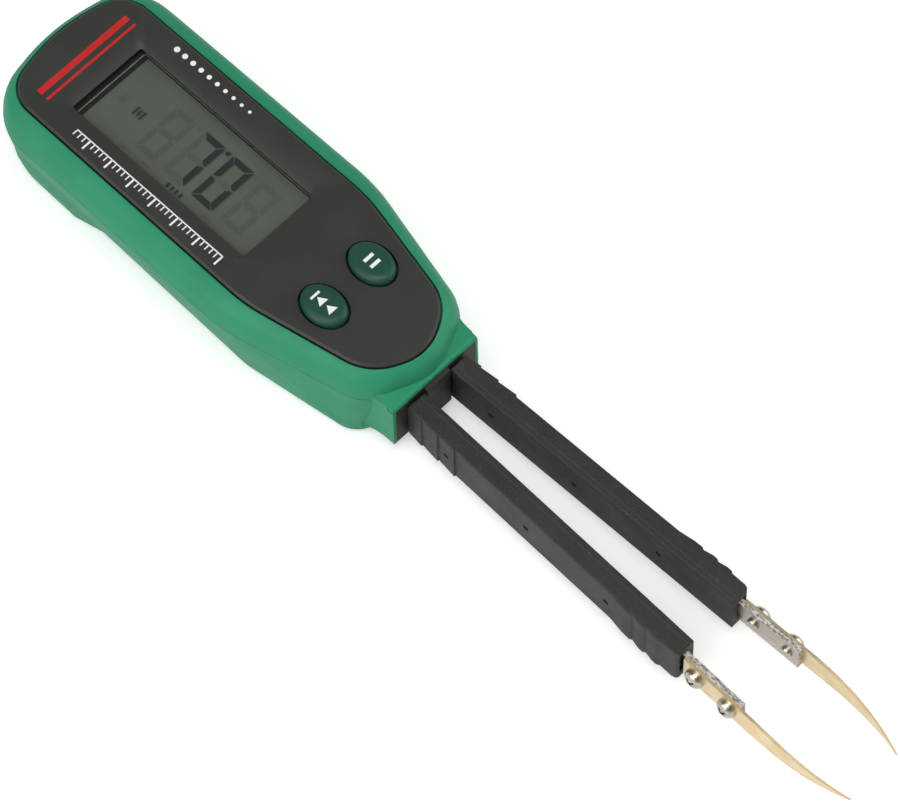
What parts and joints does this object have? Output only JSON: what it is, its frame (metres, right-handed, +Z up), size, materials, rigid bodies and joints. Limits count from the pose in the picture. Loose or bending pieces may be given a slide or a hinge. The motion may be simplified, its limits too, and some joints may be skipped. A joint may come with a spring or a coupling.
{
  "type": "tweezer component tester",
  "caption": "Slim hand-held tweezer tester with a display, push keys, a battery door and sprung arms that end in curved metal tips.",
  "frame": {"origin": "on the flat underside, in the mid-plane, 44 mm behind the front face of the neck", "axes": "+X along the arms towards the tips, +Y towards the left arm, +Z up out of the front panel"},
  "size_m": [0.181, 0.035, 0.0197],
  "materials": {
    "shell_green": "satin, fine moulded texture",
    "panel_black": "satin",
    "window_clear": "clear, polished",
    "lcd_glass": "grey-green film under glass",
    "frame_black": "satin",
    "contact_rubber": "matt",
    "board_green": "lacquered",
    "chip_black": "matt",
    "board_parts": "ceramic",
    "switch_steel": "stamped",
    "key_green": "satin",
    "plunger_black": "satin",
    "cell_steel": "fine brushed",
    "contact_nickel": "bright nickel",
    "screw_steel": "bright nickel",
    "arm_black": "fine grained satin",
    "wire_red": "insulation",
    "spring_steel": "rolled",
    "plate_nickel": "nickel plate, rough sheared edges",
    "blade_gold": "pale gold plate"
  },
  "bodies": {
    "body": {"top_shell": "shell_green", "bottom_shell": "shell_green", "front_panel": "panel_black", "lcd_window": "window_clear", "lcd_glass": "lcd_glass", "lcd_frame": "frame_black", "contact_rubbers": "contact_rubber", "circuit_board": "board_green", "main_chip": "chip_black", "board_parts": "board_parts", "switch_bodies": "switch_steel", "coin_cell_can": "cell_steel", "coin_cell_cap": "cell_steel", "cell_plus_contact": "contact_nickel", "cell_minus_contact": "contact_nickel", "case_screws": "screw_steel", "arm_holder": "arm_black", "lead_wires": "wire_red"},
    "mode_key": {"mode_key": "key_green", "mode_plunger": "plunger_black"},
    "hold_key": {"hold_key": "key_green", "hold_plunger": "plunger_black"},
    "battery_door": {"battery_door": "shell_green"},
    "left_arm": {"left_arm_cover": "arm_black", "left_arm_lining": "arm_black", "left_leaf_spring": "spring_steel", "left_tip_plate": "plate_nickel", "left_tip_blade": "blade_gold", "left_tip_screws": "screw_steel"},
    "right_arm": {"right_arm_cover": "arm_black", "right_arm_lining": "arm_black", "right_leaf_spring": "spring_steel", "right_tip_plate": "plate_nickel", "right_tip_blade": "blade_gold", "right_tip_screws": "screw_steel"}
  },
  "joints": [
    {"name": "mode_key_press", "type": "slide", "parent": "body", "child": "mode_key", "axis": [0, 0, -1], "range_m": [0, 0.00045], "stiffness_N_per_m": 800},
    {"name": "hold_key_press", "type": "slide", "parent": "body", "child": "hold_key", "axis": [0, 0, -1], "range_m": [0, 0.00045], "stiffness_N_per_m": 800},
    {"name": "battery_door_lift_off", "type": "slide", "parent": "body", "child": "battery_door", "axis": [0, 0, -1], "range_m": [0, 0.012], "stiffness_N_per_m": 100},
    {"name": "left_arm_squeeze", "type": "hinge", "parent": "body", "child": "left_arm", "pos_m": [0.0444, 0.00535, 0.00775], "axis": [0, 0, -1], "range_deg": [0, 3.09], "stiffness_Nm_per_rad": 1.6},
    {"name": "right_arm_squeeze", "type": "hinge", "parent": "body", "child": "right_arm", "pos_m": [0.0444, -0.00535, 0.00775], "axis": [0, 0, 1], "range_deg": [0, 3.09], "stiffness_Nm_per_rad": 1.6}
  ]
}
